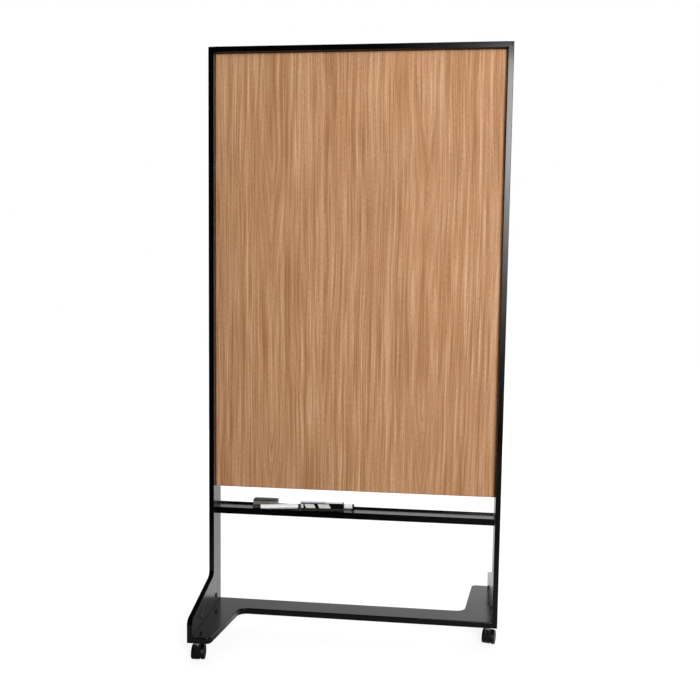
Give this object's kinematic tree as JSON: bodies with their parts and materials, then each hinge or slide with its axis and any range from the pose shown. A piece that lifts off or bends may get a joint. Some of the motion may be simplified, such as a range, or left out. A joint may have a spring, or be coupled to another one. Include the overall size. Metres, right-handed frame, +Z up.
{
  "type": "mobile partition board",
  "caption": "Tall wood-grain partition board in a folded black steel frame with staggered feet, twin-wheel casters, a pen tray and a white writing sheet on the back.",
  "frame": {"origin": "on the floor, under the middle of the board's width and thickness", "axes": "+X to the board's right as seen from its wood side, -Y the way the wood side faces, +Z up"},
  "size_m": [0.9, 0.54, 1.8],
  "materials": {
    "black_paint": "satin powder coat",
    "black_bolt": "black oxide",
    "wood_grain": "satin wood-grain laminate, grain upright",
    "board_core": "raw fibreboard",
    "white_steel": "glossy white enamel",
    "zinc": "bright zinc plating",
    "black_nylon": "moulded, satin",
    "black_wheel": "moulded, matt tread",
    "eraser_shell": "moulded, fine texture",
    "eraser_felt": "pressed wool felt",
    "marker_barrel": "glossy",
    "marker_cap": "glossy"
  },
  "bodies": {
    "frame": {"base_plate": "black_paint", "bottom_edge_band": "wood_grain", "front_left_stem": "zinc", "front_right_stem": "zinc", "left_base_bolt": "black_bolt", "left_button_bolt_1": "black_bolt", "left_button_bolt_2": "black_bolt", "left_foot_bolt": "black_bolt", "left_inner_cover": "black_paint", "left_panel_bolt_1": "black_bolt", "left_panel_bolt_2": "black_bolt", "left_panel_bolt_3": "black_bolt", "left_rail_bolt": "black_bolt", "left_side_shell": "black_paint", "left_tray_bolt": "black_bolt", "panel_core": "board_core", "pen_tray": "black_paint", "rear_left_stem": "zinc", "rear_right_stem": "zinc", "right_base_bolt": "black_bolt", "right_button_bolt_1": "black_bolt", "right_button_bolt_2": "black_bolt", "right_foot_bolt": "black_bolt", "right_inner_cover": "black_paint", "right_panel_bolt_1": "black_bolt", "right_panel_bolt_2": "black_bolt", "right_panel_bolt_3": "black_bolt", "right_rail_bolt": "black_bolt", "right_side_shell": "black_paint", "right_tray_bolt": "black_bolt", "top_rail": "black_paint", "white_writing_sheet": "white_steel", "wood_board": "wood_grain"},
    "front_left_caster": {"front_left_hood": "black_nylon", "front_left_axle": "zinc"},
    "front_left_wheel_a": {"front_left_wheel_a": "black_wheel"},
    "front_left_wheel_b": {"front_left_wheel_b": "black_wheel"},
    "front_right_caster": {"front_right_hood": "black_nylon", "front_right_axle": "zinc"},
    "front_right_wheel_a": {"front_right_wheel_a": "black_wheel"},
    "front_right_wheel_b": {"front_right_wheel_b": "black_wheel"},
    "rear_left_caster": {"rear_left_hood": "black_nylon", "rear_left_axle": "zinc"},
    "rear_left_wheel_a": {"rear_left_wheel_a": "black_wheel"},
    "rear_left_wheel_b": {"rear_left_wheel_b": "black_wheel"},
    "rear_right_caster": {"rear_right_hood": "black_nylon", "rear_right_axle": "zinc"},
    "rear_right_wheel_a": {"rear_right_wheel_a": "black_wheel"},
    "rear_right_wheel_b": {"rear_right_wheel_b": "black_wheel"},
    "short_eraser": {"short_eraser_felt": "eraser_felt", "short_eraser_shell": "eraser_shell"},
    "long_eraser": {"long_eraser_felt": "eraser_felt", "long_eraser_shell": "eraser_shell"},
    "front_marker": {"front_marker_barrel": "marker_barrel"},
    "front_marker_cap": {"front_marker_cap": "marker_cap"},
    "back_marker": {"back_marker_barrel": "marker_barrel"},
    "back_marker_cap": {"back_marker_cap": "marker_cap"}
  },
  "joints": [
    {"name": "front_left_swivel", "type": "hinge", "parent": "frame", "child": "front_left_caster", "pos_m": [-0.423, -0.255, 0.043], "axis": [0, 0, 1], "continuous": true},
    {"name": "front_left_wheel_a_spin", "type": "hinge", "parent": "front_left_caster", "child": "front_left_wheel_a", "pos_m": [-0.42457, -0.23707, 0.02], "axis": [0.9962, 0.0872, 0], "continuous": true},
    {"name": "front_left_wheel_b_spin", "type": "hinge", "parent": "front_left_caster", "child": "front_left_wheel_b", "pos_m": [-0.42457, -0.23707, 0.02], "axis": [0.9962, 0.0872, 0], "continuous": true},
    {"name": "front_right_swivel", "type": "hinge", "parent": "frame", "child": "front_right_caster", "pos_m": [0.423, -0.025, 0.043], "axis": [0, 0, 1], "continuous": true},
    {"name": "front_right_wheel_a_spin", "type": "hinge", "parent": "front_right_caster", "child": "front_right_wheel_a", "pos_m": [0.42705, -0.00746, 0.02], "axis": [0.9744, -0.225, 0], "continuous": true},
    {"name": "front_right_wheel_b_spin", "type": "hinge", "parent": "front_right_caster", "child": "front_right_wheel_b", "pos_m": [0.42705, -0.00746, 0.02], "axis": [0.9744, -0.225, 0], "continuous": true},
    {"name": "rear_left_swivel", "type": "hinge", "parent": "frame", "child": "rear_left_caster", "pos_m": [-0.423, 0.025, 0.043], "axis": [0, 0, 1], "continuous": true},
    {"name": "rear_left_wheel_a_spin", "type": "hinge", "parent": "rear_left_caster", "child": "rear_left_wheel_a", "pos_m": [-0.42705, 0.00746, 0.02], "axis": [-0.9744, 0.225, 0], "continuous": true},
    {"name": "rear_left_wheel_b_spin", "type": "hinge", "parent": "rear_left_caster", "child": "rear_left_wheel_b", "pos_m": [-0.42705, 0.00746, 0.02], "axis": [-0.9744, 0.225, 0], "continuous": true},
    {"name": "rear_right_swivel", "type": "hinge", "parent": "frame", "child": "rear_right_caster", "pos_m": [0.423, 0.255, 0.043], "axis": [0, 0, 1], "continuous": true},
    {"name": "rear_right_wheel_a_spin", "type": "hinge", "parent": "rear_right_caster", "child": "rear_right_wheel_a", "pos_m": [0.42457, 0.23707, 0.02], "axis": [-0.9962, -0.0872, 0], "continuous": true},
    {"name": "rear_right_wheel_b_spin", "type": "hinge", "parent": "rear_right_caster", "child": "rear_right_wheel_b", "pos_m": [0.42457, 0.23707, 0.02], "axis": [-0.9962, -0.0872, 0], "continuous": true},
    {"name": "short_eraser_lift", "type": "slide", "parent": "frame", "child": "short_eraser", "axis": [0, 0, 1], "range_m": [0, 0.04]},
    {"name": "long_eraser_lift", "type": "slide", "parent": "frame", "child": "long_eraser", "axis": [0, 0, 1], "range_m": [0, 0.04]},
    {"name": "front_marker_lift", "type": "slide", "parent": "frame", "child": "front_marker", "axis": [0, 0, 1], "range_m": [0, 0.04]},
    {"name": "front_marker_cap_pull", "type": "slide", "parent": "front_marker", "child": "front_marker_cap", "axis": [-0.9781, -0.2079, 0], "range_m": [0, 0.03]},
    {"name": "back_marker_lift", "type": "slide", "parent": "frame", "child": "back_marker", "axis": [0, 0, 1], "range_m": [0, 0.04]},
    {"name": "back_marker_cap_pull", "type": "slide", "parent": "back_marker", "child": "back_marker_cap", "axis": [-1, 0, 0], "range_m": [0, 0.03]}
  ]
}
